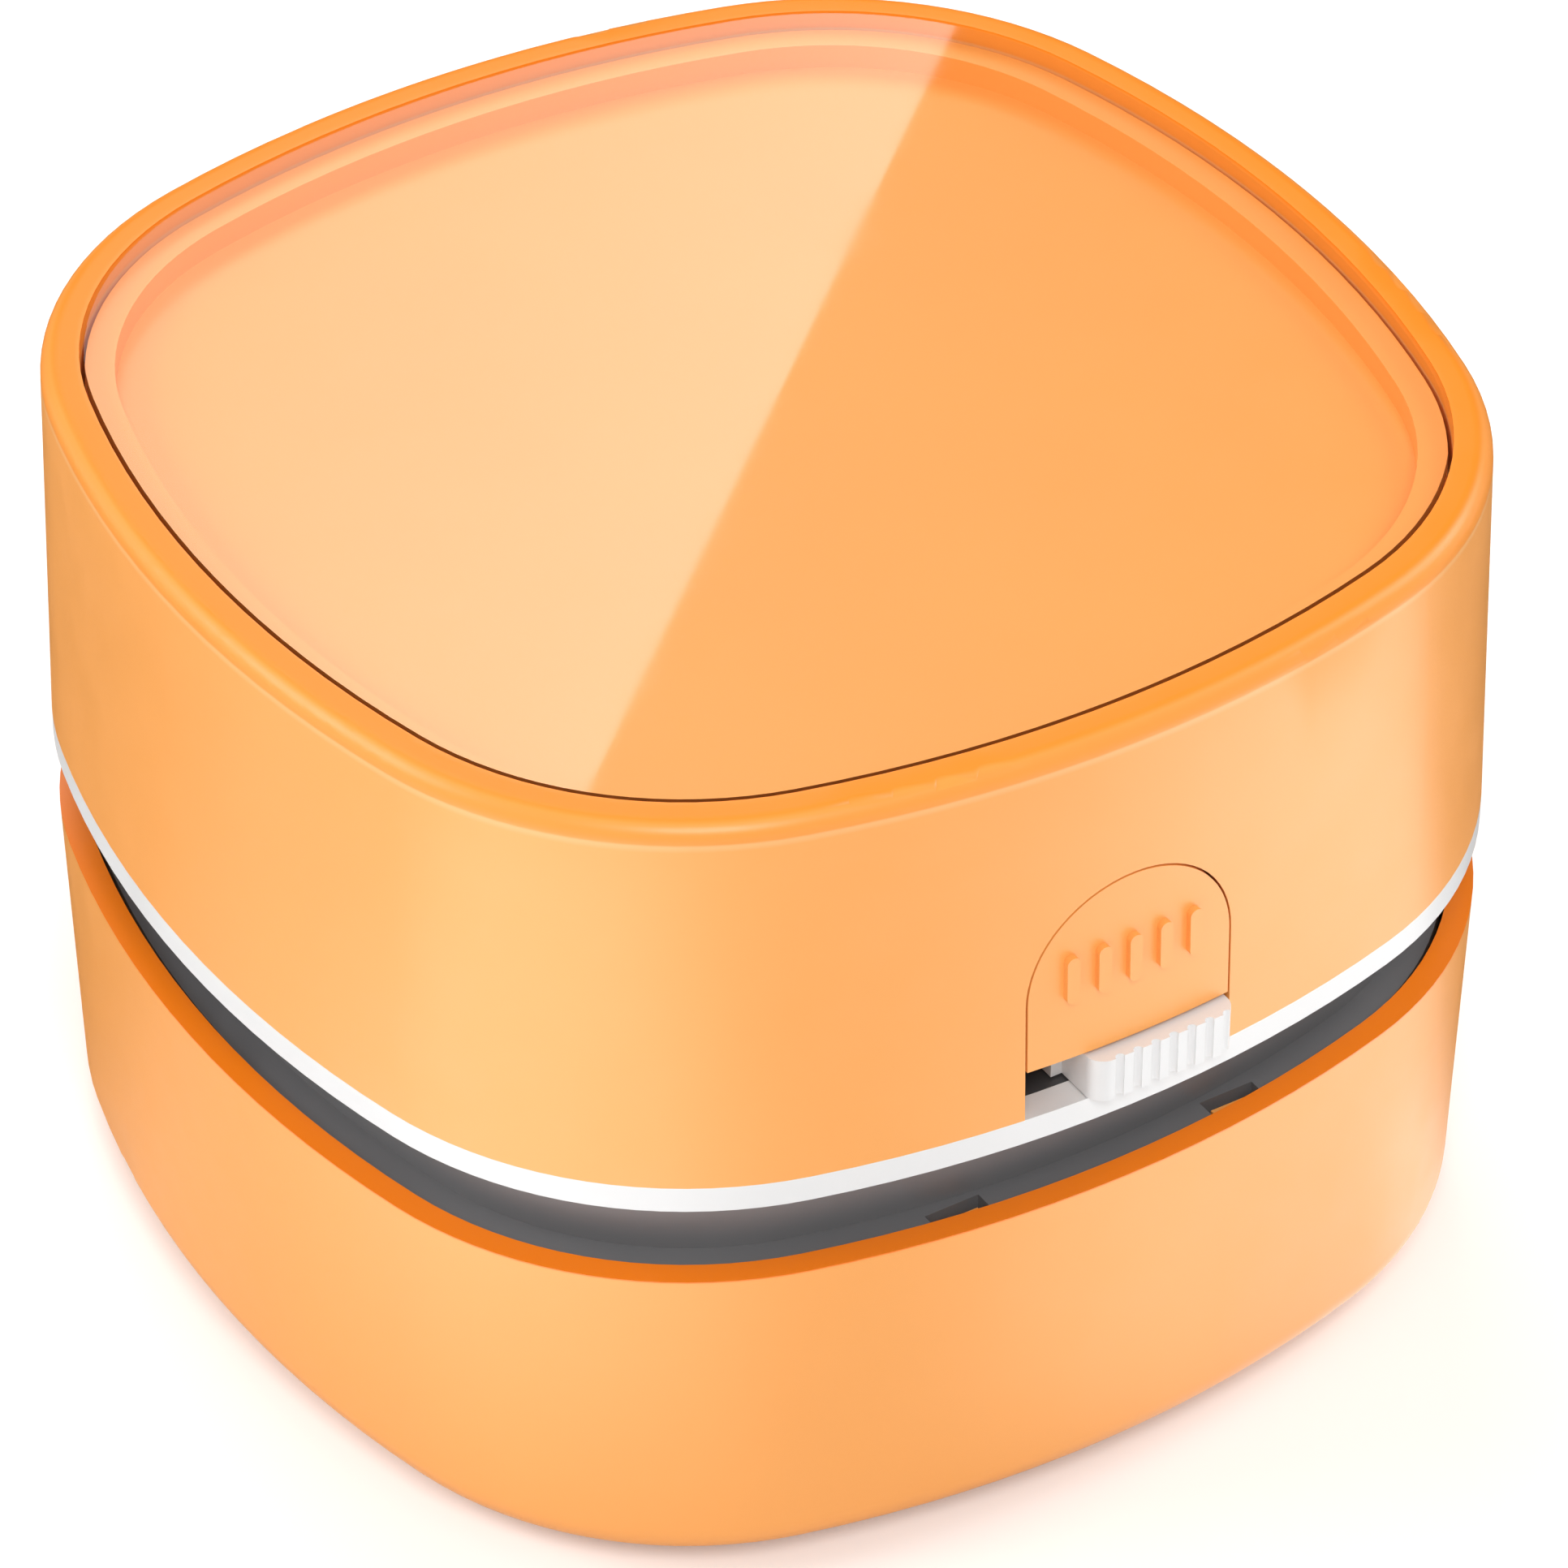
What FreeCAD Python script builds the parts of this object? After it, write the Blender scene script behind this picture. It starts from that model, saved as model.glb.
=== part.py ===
import FreeCAD, Part
import math
import os

# Desktop mini vacuum cleaner, all lengths in millimetres.
# Origin on the table at the middle of the footprint, +Z up, the button and switch face -Y.

V = FreeCAD.Vector
UP = V(0, 0, 1)
ALONG_X = V(1, 0, 0)
ALONG_Y = V(0, 1, 0)

# Outline in plan: four bowed sides joined by round corners
half_width = 42.05
side_radius = 81.3
corner_radius = 25.8

# Heights of the stacked pieces
ground_gap = 1.6
cup_height = 23.9
waist_height = 5.7
ring_height = 1.8
upper_height = 26.65

# Walls and drafts, the draft being the inset gained by each millimetre of height
upper_wall = 2.0
upper_draft = 0.026
upper_edge_round = 1.3
cup_wall = 1.6
cup_draft = 0.031
cup_rim_inset = 0.12
cup_floor = 2.0
cup_edge_round = 3.0
cup_inner_bevel = 1.5

# Clearances, how far cutters run past a face and ribs into a wall, and what counts as one place
slide_gap = 0.3
trim_gap = 0.1
button_gap = 0.15
cover_gap = 0.3
shaft_gap = 0.06
screw_gap = 0.1
screw_tip_gap = 0.4
cut_past = 1.0
join_depth = 0.5
same_place = 1e-4

# Suction mouth, brush and feet
mouth_radius = 8.0
mouth_wall = 1.4
mouth_top_drop = 14.5
bell_radius = 17.0
bell_depth = 3.0
bell_roof = 1.8
brush_ring_height = 1.0
brush_ring_inner = 9.9
tuft_circle = 13.3
tuft_radius = 0.9
tuft_count = 24
tuft_clearance = 0.3
foot_radius = 4.5
foot_recess = 0.6
foot_place = 24.0

# Fan housing, which is also the dark collar in the waist
neck_inset = 4.05
neck_wall = 2.0
skirt_inset = 2.15
skirt_depth = 8.0
skirt_drop = 0.7
fan_floor_rise = 1.0
fan_floor = 1.5
eye_radius = 9.5
vent_width = 3.2
vent_pitch = 5.4
vent_height = 4.0
vent_count_side = 5
vent_count_back = 9
vent_side_start = -2.0
vent_depth = 6.2
notch_gap = 0.75
seal_height = 0.6
seal_outer_inset = 3.05
seal_width = 2.6
ledge_height = 1.6
ledge_half_length = 14.0
ledge_inset = 5.2

# Screws through the fan housing posts into the upper housing posts
post_place = 25.5
post_radius = 3.2
post_height = 6.0
screw_radius = 1.15
screw_head_radius = 2.5
screw_head_height = 1.6
screw_recess = 4.0
screw_bite = 5.0
rib_width = 1.6

# Dust filter
filter_radius = 25.0
filter_rim = 3.0
filter_height = 3.3
filter_spokes = 6
filter_spoke_width = 1.4
filter_spoke_height = 1.0
pleat_count = 2
pleat_depth = 1.7
media_thickness = 0.6

# Impeller, shaft and motor
impeller_radius = 20.5
impeller_plate = 1.0
impeller_floor_gap = 1.0
impeller_height = 7.6
hub_radius = 3.2
blade_count = 7
blade_thickness = 1.0
blade_middle = 12.55
blade_lean_middle = 14.4
blade_lean_tip = 48.0
blade_rise = 1.8
blade_rim_inset = 0.4
hub_rise = 0.4
shaft_radius = 1.0
shaft_below_hub = 0.8
shaft_in_cap = 1.0
motor_radius = 10.05
motor_half_flat = 7.55
motor_length = 20.0
motor_edge = 0.4
end_cap_length = 2.2
end_cap_inset = 0.6
end_cap_bore = 1.4
motor_boss_radius = 3.0
motor_boss_recess = 0.2
bush_radius = 2.2
bush_length = 2.4
motor_screw_radius = 0.85
motor_screw_place = 6.3
motor_screw_depth = 2.5
motor_screw_head = 1.7
motor_screw_head_height = 0.9
terminal_width = 2.2
terminal_thickness = 0.6
terminal_rise = 0.1
terminal_place = 6.0

# Cells, their cradle and contacts
cell_radius = 7.25
cell_length = 50.5
cell_nub_radius = 2.6
cell_nub_length = 1.0
cell_edge = 0.5
cell_place = 17.5
cell_top_gap = 0.4
cradle_gap = 0.35
cradle_wall = 1.4
cradle_end_gap = 3.0
cradle_side_rise = 1.2
cradle_end_low = 2.0
cradle_end_rise = 5.2
cradle_bridge_rise = 1.0
cradle_bridge_height = 2.8
leg_radius = 2.4
leg_place_x = 14.0
leg_place_y = 19.0
contact_thickness = 0.4
contact_half_width = 4.5
contact_half_height = 4.5
contact_strip_half = 2.7
dimple_tip_radius = 1.6
dimple_base_radius = 2.6

# Top cover
land_inset = 3.14
cover_step = 4.2
cover_ledge = 1.55
cover_ledge_inset = 5.0
tray_floor = 1.2
tray_rim = 1.86
panel_thickness = 1.3

# Arched opening in the front, release button and its lever
arch_half_width = 7.4
arch_top_drop = 10.75
slot_height = 3.55
pad_thickness = 1.9
pad_foot_gap = 0.04
grip_bar_count = 5
grip_bar_width = 0.9
grip_bar_height = 3.4
grip_bar_pitch = 2.2
grip_bar_proud = 0.45
grip_bar_round = 0.43
grip_bar_rise = 6.2
stem_rise = 1.0
stem_setback = 1.52
yoke_rise = 1.4
yoke_overlap = 3.9
yoke_setback = 1.65
arm_width = 2.4
arm_thickness = 2.0
arm_gap = 0.35
arm_step_rise = 1.6
arm_step_shift = 0.5
pivot_setback = 1.8
pivot_drop = 13.15
pivot_radius = 0.9
barrel_radius = 1.9
ear_width = 2.2
ear_radius = 2.0
nose_height = 1.8
nose_tip = 0.6
nose_root = 0.8
lip_depth = 1.73
lip_height = 1.4
lip_drop = 1.1
spring_thickness = 0.3
spring_radius = 2.6
spring_half_width = 2.0
spring_drop = 7.3
spring_touch_gap = 0.05
spring_seat_depth = 2.0
spring_seat_side = 1.0
spring_seat_margin = 0.3
lever_swing = 3.0

# Slide switch
knob_width = 10.3
knob_side_gap = 0.25
knob_proud = 0.95
knob_height = 3.1
knob_lift = 0.15
knob_round = 1.2
flute_count = 7
flute_pitch = 1.3
flute_radius = 0.32
flute_start = 1.7
shoe_side = 0.8
shoe_drop = 0.3
shoe_setback = 0.75
shoe_thickness = 1.7
tongue_half_width = 2.0
tongue_drop = 0.5
tongue_gap = 0.8
fork_end_gap = 0.2
slider_half_width = 0.6
slider_reach = 2.4
slider_depth = 1.4
slider_low = 1.25
slider_height = 1.2
switch_setback = 9.45
switch_depth = 5.0
switch_height = 4.4
switch_end_wall = 1.2
window_side_gap = 0.8
window_gap = 0.15
switch_pin_pitch = 2.5
switch_pin_width = 0.8
switch_pin_length = 1.2
switch_pin_low = 1.0
switch_pin_thickness = 0.5

# Levels that follow from the heights
z_under = ground_gap
z_floor = z_under + cup_floor
z_rim = z_under + cup_height
z_ring = z_rim + waist_height
z_deck = z_ring + ring_height
z_top = z_deck + upper_height
z_skirt_top = z_rim - skirt_drop
z_skirt = z_skirt_top - skirt_depth + skirt_drop
z_fan_floor = z_skirt + fan_floor_rise
z_fan = z_fan_floor + fan_floor
z_ledge = z_skirt - seal_height - slide_gap
z_cover = z_top - cover_step
z_slot = z_deck + slot_height
z_arch = z_top - arch_top_drop - arch_half_width
z_pivot = z_top - pivot_drop
z_lip = z_rim - lip_drop - lip_height
z_motor_top = z_deck + motor_length
z_cell = z_cover - cell_top_gap - cell_radius
z_spring = z_cell - spring_drop
z_hub = z_fan + impeller_floor_gap + hub_rise
z_boss = z_ring + motor_boss_recess

# Depths behind the front and widths that follow from the sizes above
yoke_half_width = arch_half_width + yoke_overlap
yoke_face = half_width - upper_wall - yoke_setback
pivot_depth = yoke_face - pivot_setback
neck_radius = side_radius - neck_inset - neck_wall
neck_bow = neck_radius - math.sqrt(neck_radius ** 2 - yoke_half_width ** 2)
arm_face = half_width - neck_inset - neck_wall - neck_bow - arm_gap
lip_reach = half_width - cup_rim_inset - cup_wall - lip_depth
nose_reach = lip_reach - button_gap
switch_front = half_width - switch_setback
knob_travel = 2.0 * (arch_half_width - knob_side_gap) - knob_width
knob_middle = knob_travel / 2.0


def corner_centre():
    """Distance along X, and along Y, from the middle to the centre of a round corner."""
    back = side_radius - half_width
    span = side_radius - corner_radius
    return (math.sqrt(2.0 * span ** 2 - back ** 2) - back) / 2.0


def corner_reach(inset):
    """Distance from the middle to the outline along a diagonal."""
    return corner_centre() * math.sqrt(2.0) + corner_radius - inset


def outline(inset, z):
    """Plan outline of the product, moved inwards by inset, at height z."""
    reach = half_width - inset
    side = side_radius - inset
    corner = corner_radius - inset
    back = side_radius - half_width
    centre = corner_centre()
    turn = math.atan2(centre, centre + back)
    far = side * math.cos(turn) - back
    near = side * math.sin(turn)
    tip = centre + corner * math.sqrt(0.5)
    edges = []
    for quarter in range(4):
        angle = quarter * math.pi / 2.0
        spots = [(far, -near), (reach, 0.0), (far, near), (tip, tip), (near, far)]
        turned = []
        for x, y in spots:
            east = x * math.cos(angle) - y * math.sin(angle)
            north = x * math.sin(angle) + y * math.cos(angle)
            turned.append(V(east, north, z))
        edges.append(Part.Arc(turned[0], turned[1], turned[2]).toShape())
        edges.append(Part.Arc(turned[2], turned[3], turned[4]).toShape())
    return Part.Wire(edges)


def slab(inset, low, high):
    """Upright block with the product's outline."""
    return Part.Face(outline(inset, low)).extrude(V(0, 0, high - low))


def drafted(inset_low, low, inset_high, high):
    """Block with the product's outline and leaning walls, as eight sectors of cones."""
    apex = side_radius - half_width
    centre = corner_centre()
    turn = math.degrees(math.atan2(centre, centre + apex))
    sectors = []
    for quarter in range(4):
        side = cone_sector(-apex, 0.0, side_radius - inset_low, low, side_radius - inset_high, high,
                           -turn, turn)
        corner = cone_sector(centre, centre, corner_radius - inset_low, low,
                             corner_radius - inset_high, high, turn, 90.0 - turn)
        for sector in (side, corner):
            sector.rotate(V(0, 0, 0), UP, 90.0 * quarter)
            sectors.append(sector)
    return fuse(sectors)


def cone_sector(x, y, radius_low, low, radius_high, high, start, end):
    """Wedge of an upright cone about (x, y), between two directions in degrees."""
    profile = [V(x, y, low), V(x + radius_low, y, low), V(x + radius_high, y, high), V(x, y, high)]
    face = Part.Face(Part.makePolygon(profile + profile[:1]))
    face.rotate(V(x, y, 0), UP, start)
    return face.revolve(V(x, y, 0), UP, end - start)


def box(x0, x1, y0, y1, z0, z1):
    return Part.makeBox(x1 - x0, y1 - y0, z1 - z0, V(x0, y0, z0))


def rod(radius, x, y, low, high):
    return Part.makeCylinder(radius, high - low, V(x, y, low), UP)


def cross_rod(radius, x0, x1, y, z):
    return Part.makeCylinder(radius, x1 - x0, V(x0, y, z), ALONG_X)


def fuse(shapes):
    whole = shapes[0]
    if len(shapes) > 1:
        whole = shapes[0].fuse(shapes[1:])
    return whole.removeSplitter()


def polygon_x(points, x0, x1):
    """Block with a side profile of (y, z) points, from x0 to x1."""
    corners = [V(x0, y, z) for y, z in points]
    corners.append(corners[0])
    return Part.Face(Part.makePolygon(corners)).extrude(V(x1 - x0, 0, 0))


def edges_at(shape, z):
    """Horizontal edges at height z."""
    found = []
    for edge in shape.Edges:
        bounds = edge.BoundBox
        if abs(bounds.ZMin - z) < same_place and abs(bounds.ZMax - z) < same_place:
            found.append(edge)
    return found


def corner_places(reach):
    return [(reach, reach), (-reach, reach), (-reach, -reach), (reach, -reach)]


def upper_inset(z):
    return upper_draft * (z - z_deck)


def cup_inset(z):
    return cup_rim_inset + cup_draft * (z_rim - z)


def arch_prism(gap, low, y0, y1):
    """Arch-shaped block along Y, smaller than the opening by gap."""
    half = arch_half_width - gap
    left = V(-half, y0, z_arch)
    right = V(half, y0, z_arch)
    foot_left = V(-half, y0, low)
    foot_right = V(half, y0, low)
    top = V(0, y0, z_arch + half)
    edges = [
        Part.makeLine(foot_right, right),
        Part.Arc(right, top, left).toShape(),
        Part.makeLine(left, foot_left),
        Part.makeLine(foot_left, foot_right),
    ]
    return Part.Face(Part.Wire(edges)).extrude(V(0, y1 - y0, 0))


def lower_housing():
    """Dust cup with its suction mouth, seat ledge and the two lips for the hooks."""
    outer = drafted(cup_inset(z_under), z_under, cup_rim_inset, z_rim)
    outer = outer.makeFillet(cup_edge_round, edges_at(outer, z_under))
    inner = drafted(cup_inset(z_floor) + cup_wall, z_floor, cup_rim_inset + cup_wall, z_rim)
    inner = inner.makeChamfer(cup_inner_bevel, edges_at(inner, z_floor))
    shell = outer.cut(inner)
    bell_top = z_under + bell_depth + bell_roof
    mouth_top = z_rim - mouth_top_drop
    bell = rod(bell_radius + mouth_wall, 0, 0, z_under, bell_top)
    chimney = rod(mouth_radius + mouth_wall, 0, 0, z_under, mouth_top)
    lips = [lip_bar(side) for side in (-1, 1)]
    shell = fuse([shell, bell, chimney] + seat_ledges() + lips)
    shell = shell.cut(rod(bell_radius, 0, 0, z_under, z_under + bell_depth))
    shell = shell.cut(rod(mouth_radius, 0, 0, z_under, mouth_top))
    for x, y in corner_places(foot_place):
        shell = shell.cut(rod(foot_radius, x, y, z_under, z_under + foot_recess))
    return shell


def seat_ledges():
    """Short ledges on the cup's four walls that carry the motor unit."""
    wall = half_width - cup_inset(z_ledge - ledge_height) - cup_wall / 2.0
    low = z_ledge - ledge_height
    ledges = []
    for quarter in range(4):
        ledge = box(-ledge_half_length, ledge_half_length, -wall, -(half_width - ledge_inset), low, z_ledge)
        ledge = ledge.common(slab(cup_inset(low) + cup_wall / 2.0, low, z_ledge))
        ledge.rotate(V(0, 0, 0), UP, 90.0 * quarter)
        ledges.append(ledge)
    return ledges


def lip_bar(side):
    """Lip on the cup's front wall, over one hook."""
    near = side * (yoke_half_width - arm_width - slide_gap)
    far = side * (yoke_half_width + slide_gap)
    wall = half_width - cup_rim_inset - cup_wall / 2.0
    bar = box(min(near, far), max(near, far), -wall, -lip_reach, z_lip, z_lip + lip_height)
    return bar.common(slab(cup_rim_inset + cup_wall / 2.0, z_lip, z_lip + lip_height))


def glide_feet():
    high = z_under + foot_recess
    feet = []
    for x, y in corner_places(foot_place):
        feet.append(rod(foot_radius, x, y, 0.0, high))
    return Part.makeCompound(feet)


def brush_holder():
    high = z_under + bell_depth
    low = high - brush_ring_height
    ring = rod(bell_radius - trim_gap, 0, 0, low, high)
    return ring.cut(rod(brush_ring_inner, 0, 0, low, high))


def bristles():
    high = z_under + bell_depth - brush_ring_height
    tufts = []
    for index in range(tuft_count):
        angle = 2.0 * math.pi * index / tuft_count
        x = tuft_circle * math.cos(angle)
        y = tuft_circle * math.sin(angle)
        tufts.append(tuft(x, y, tuft_clearance, high))
    return Part.makeCompound(tufts)


def tuft(x, y, low, high):
    """Six-sided bundle of bristles."""
    corners = []
    for index in range(7):
        angle = index * math.pi / 3.0
        corners.append(V(x + tuft_radius * math.cos(angle), y + tuft_radius * math.sin(angle), low))
    return Part.Face(Part.makePolygon(corners)).extrude(V(0, 0, high - low))


def fan_housing():
    """Dark collar: plugs into the cup, holds the impeller and lets the air out."""
    neck = slab(neck_inset, z_skirt, z_ring)
    skirt = slab(skirt_inset, z_skirt, z_skirt_top)
    body = fuse([neck, skirt])
    chamber = slab(neck_inset + neck_wall, z_fan, z_ring)
    body = body.cut(chamber)
    body = body.cut(slab(neck_inset + neck_wall, z_skirt, z_fan_floor))
    posts = []
    for x, y in corner_places(post_place):
        posts.append(rod(post_radius, x, y, z_fan_floor, z_ring))
    body = fuse([body] + posts)
    for x, y in corner_places(post_place):
        body = body.cut(rod(screw_radius + screw_gap, x, y, z_fan_floor, z_ring))
        recess = rod(screw_head_radius + screw_gap, x, y, z_fan_floor, z_fan_floor + screw_recess)
        body = body.cut(recess)
    body = body.cut(rod(eye_radius, 0, 0, z_fan_floor, z_fan))
    cuts = vents()
    for side in (-1, 1):
        cuts.append(hook_window(side))
        cuts.append(skirt_notch(side))
    return body.cut(Part.makeCompound(cuts))


def vents():
    """Rows of upright exhaust slots on both flanks and the back of the collar."""
    middle = (z_skirt_top + z_ring) / 2.0
    low = middle - vent_height / 2.0
    high = middle + vent_height / 2.0
    outer = half_width - neck_inset + cut_past
    inner = half_width - neck_inset - vent_depth
    slots = []
    for index in range(vent_count_side):
        y = vent_side_start + index * vent_pitch
        slots.append(box(inner, outer, y, y + vent_width, low, high))
        slots.append(box(-outer, -inner, y, y + vent_width, low, high))
    for index in range(vent_count_back):
        x = (index - (vent_count_back - 1) / 2.0) * vent_pitch - vent_width / 2.0
        slots.append(box(x, x + vent_width, inner, outer, low, high))
    return slots


def hook_window(side):
    """Window in the collar's wall that lets one hook out."""
    near = side * (yoke_half_width - arm_width - slide_gap)
    far = side * (yoke_half_width + slide_gap)
    low = z_lip - nose_height - 3.0 * slide_gap
    high = z_lip + 2.0 * slide_gap
    outer = half_width - skirt_inset + cut_past
    return box(min(near, far), max(near, far), -outer, -arm_face, low, high)


def skirt_notch(side):
    """Upright notch in the skirt that lets the cup's lip pass."""
    near = side * (yoke_half_width - arm_width - notch_gap)
    far = side * (yoke_half_width + notch_gap)
    outer = half_width - skirt_inset + cut_past
    inner = lip_reach - 2.0 * slide_gap
    return box(min(near, far), max(near, far), -outer, -inner, z_skirt, z_skirt_top)


def face_seal():
    low = z_skirt - seal_height
    ring = slab(seal_outer_inset, low, z_skirt)
    return ring.cut(slab(seal_outer_inset + seal_width, low, z_skirt))


def filter_frame():
    high = z_fan_floor
    low = high - filter_height
    inner = filter_radius - filter_rim
    pieces = [rod(filter_radius, 0, 0, low, high).cut(rod(inner, 0, 0, low, high))]
    for index in range(filter_spokes // 2):
        half = filter_spoke_width / 2.0
        spoke = box(-inner - join_depth, inner + join_depth, -half, half, low, low + filter_spoke_height)
        spoke.rotate(V(0, 0, 0), UP, 360.0 * index / filter_spokes)
        pieces.append(spoke)
    return fuse(pieces)


def filter_media():
    """Round filter cloth in concentric pleats."""
    outer = filter_radius - filter_rim - trim_gap
    step = outer / (2 * pleat_count)
    low = z_fan_floor - filter_height + filter_spoke_height
    upper = []
    lower = []
    for index in range(2 * pleat_count + 1):
        rise = pleat_depth if index % 2 else 0.0
        upper.append(V(index * step, 0, low + rise + media_thickness))
        lower.append(V(index * step, 0, low + rise))
    profile = upper + lower[::-1] + [upper[0]]
    return Part.Face(Part.makePolygon(profile)).revolve(V(0, 0, 0), UP, 360)


def trim_ring():
    """Pale ring between the upper housing and the waist."""
    band = slab(0.0, z_ring, z_deck)
    return band.cut(slab(upper_wall, z_ring, z_deck))


def motor_deck():
    """Plate that carries the motor, the cradle and the switch."""
    deck = slab(upper_wall + trim_gap / 2.0, z_ring, z_deck)
    cuts = [rod(motor_boss_radius + trim_gap, 0, 0, z_ring, z_deck)]
    for x, y in corner_places(post_place):
        cuts.append(rod(screw_radius + screw_gap, x, y, z_ring, z_deck))
    for y in (-motor_screw_place, motor_screw_place):
        cuts.append(rod(motor_screw_radius + trim_gap, 0, y, z_ring, z_deck))
    swing = (z_pivot - z_ring) * math.tan(math.radians(lever_swing))
    for side in (-1, 1):
        near = side * (yoke_half_width - arm_width - slide_gap)
        far = side * (yoke_half_width + slide_gap)
        inner = arm_face - arm_thickness - swing - slide_gap
        outer = arm_face + slide_gap
        cuts.append(box(min(near, far), max(near, far), -outer, -inner, z_ring, z_deck))
    return deck.cut(Part.makeCompound(cuts))


def upper_housing():
    """Upper shell with the cover's seat, the arched opening, screw posts and pivot ears."""
    outer = drafted(0.0, z_deck, upper_inset(z_top), z_top)
    outer = outer.makeFillet(upper_edge_round, edges_at(outer, z_top))
    z_roof = z_cover - cover_ledge
    hollow = drafted(upper_wall, z_deck, upper_wall + upper_inset(z_roof), z_roof)
    shell = outer.cut(hollow)
    shell = shell.cut(slab(cover_ledge_inset, z_roof, z_cover))
    shell = shell.cut(slab(land_inset, z_cover, z_top))
    shell = shell.cut(arch_prism(0.0, z_deck, -half_width - cut_past, -half_width + 2.0 * upper_wall))
    extras = []
    reach = post_place * math.sqrt(2.0)
    corner_tip = corner_reach(upper_wall / 2.0 + upper_inset(z_deck + post_height))
    for index, (x, y) in enumerate(corner_places(post_place)):
        extras.append(rod(post_radius, x, y, z_deck, z_deck + post_height))
        rib = box(reach, corner_tip, -rib_width / 2.0, rib_width / 2.0, z_deck, z_deck + post_height)
        rib.rotate(V(0, 0, 0), UP, 45.0 + 90.0 * index)
        extras.append(rib)
    for side in (-1, 1):
        extras.append(pivot_ear(side))
    shell = fuse([shell] + extras)
    screw_top = z_deck + screw_bite + screw_tip_gap
    for x, y in corner_places(post_place):
        shell = shell.cut(rod(screw_radius + screw_gap / 2.0, x, y, z_deck, screw_top))
    pin_hole = cross_rod(pivot_radius, -pin_half_length(), pin_half_length(), -pivot_depth, z_pivot)
    return shell.cut(pin_hole)


def pin_half_length():
    return yoke_half_width + slide_gap + ear_width


def pivot_ear(side):
    """Ear that holds one end of the button's pivot pin."""
    near = side * (yoke_half_width + slide_gap)
    far = side * pin_half_length()
    low = min(near, far)
    high = max(near, far)
    ear = cross_rod(ear_radius, low, high, -pivot_depth, z_pivot)
    wall = half_width - upper_wall / 2.0 - upper_inset(z_pivot)
    web = box(low, high, -wall, -pivot_depth, z_pivot - ear_radius, z_pivot + ear_radius)
    keep = slab(upper_wall / 2.0 + upper_inset(z_pivot), z_deck, z_top)
    return fuse([ear, web]).common(keep)


def release_button():
    """Arched press pad with its yoke, two arms and hooks, in one moulding."""
    skin = drafted(0.0, z_deck, upper_inset(z_top), z_top)
    core = drafted(pad_thickness, z_deck, pad_thickness + upper_inset(z_top), z_top)
    opening = arch_prism(button_gap, z_slot + pad_foot_gap, -half_width - cut_past, -yoke_face)
    pad = skin.cut(core).common(opening)
    stem_front = -half_width + stem_setback
    stem = arch_prism(2.0 * button_gap, z_slot + stem_rise, stem_front, -yoke_face + join_depth)
    barrel = cross_rod(barrel_radius, -yoke_half_width, yoke_half_width, -pivot_depth, z_pivot)
    back = yoke_face - arm_thickness
    plate = box(-yoke_half_width, yoke_half_width, -yoke_face, -back, z_slot + yoke_rise, z_pivot)
    pieces = [pad, stem, barrel, plate]
    for side in (-1, 1):
        pieces.append(hook_arm(side))
    lever = fuse(pieces + grip_bars())
    hole = cross_rod(pivot_radius + shaft_gap, -yoke_half_width, yoke_half_width, -pivot_depth, z_pivot)
    return lever.cut(hole)


def hook_arm(side):
    """Arm that runs down past the switch and ends in a hook under the cup's lip."""
    near = side * (yoke_half_width - arm_width)
    far = side * yoke_half_width
    back = yoke_face - arm_thickness
    inner = arm_face - arm_thickness
    nose_top = z_lip - slide_gap
    nose_low = nose_top - nose_height
    step_high = z_slot + yoke_rise
    step_low = z_deck + arm_step_rise
    profile = [
        (-yoke_face, z_pivot),
        (-yoke_face, step_high),
        (-arm_face, step_low),
        (-arm_face, nose_top),
        (-nose_reach, nose_top),
        (-nose_reach, nose_top - nose_tip),
        (-arm_face - nose_root, nose_low),
        (-inner, nose_low),
        (-inner, step_low + arm_step_shift),
        (-back, step_high + arm_step_shift),
        (-back, z_pivot),
    ]
    return polygon_x(profile, min(near, far), max(near, far))


def grip_bars():
    """Short upright bars raised on the pad."""
    low = z_slot + grip_bar_rise - grip_bar_height / 2.0
    half = grip_bar_width / 2.0
    skin = drafted(-grip_bar_proud, z_deck, upper_inset(z_top) - grip_bar_proud, z_top)
    bars = []
    for index in range(grip_bar_count):
        x = (index - (grip_bar_count - 1) / 2.0) * grip_bar_pitch
        bar = box(x - half, x + half, -half_width - cut_past, -half_width + pad_thickness,
                  low, low + grip_bar_height)
        corners = [edge for edge in bar.Edges if is_corner_along_y(edge)]
        bar = bar.makeFillet(grip_bar_round, corners)
        bars.append(bar.common(skin))
    return bars


def is_corner_along_y(edge):
    bounds = edge.BoundBox
    return bounds.YLength > 1.0 and bounds.XLength < same_place and bounds.ZLength < same_place


def pivot_pin():
    return cross_rod(pivot_radius, -pin_half_length(), pin_half_length(), -pivot_depth, z_pivot)


def return_spring():
    """U-shaped leaf spring between the cradle and the lever's yoke."""
    tip = yoke_face - arm_thickness - spring_touch_gap
    root = cradle_front()
    outer = u_shape(tip, root, spring_radius)
    inner = u_shape(tip - spring_thickness, root, spring_radius - spring_thickness)
    return outer.cut(inner)


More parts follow.
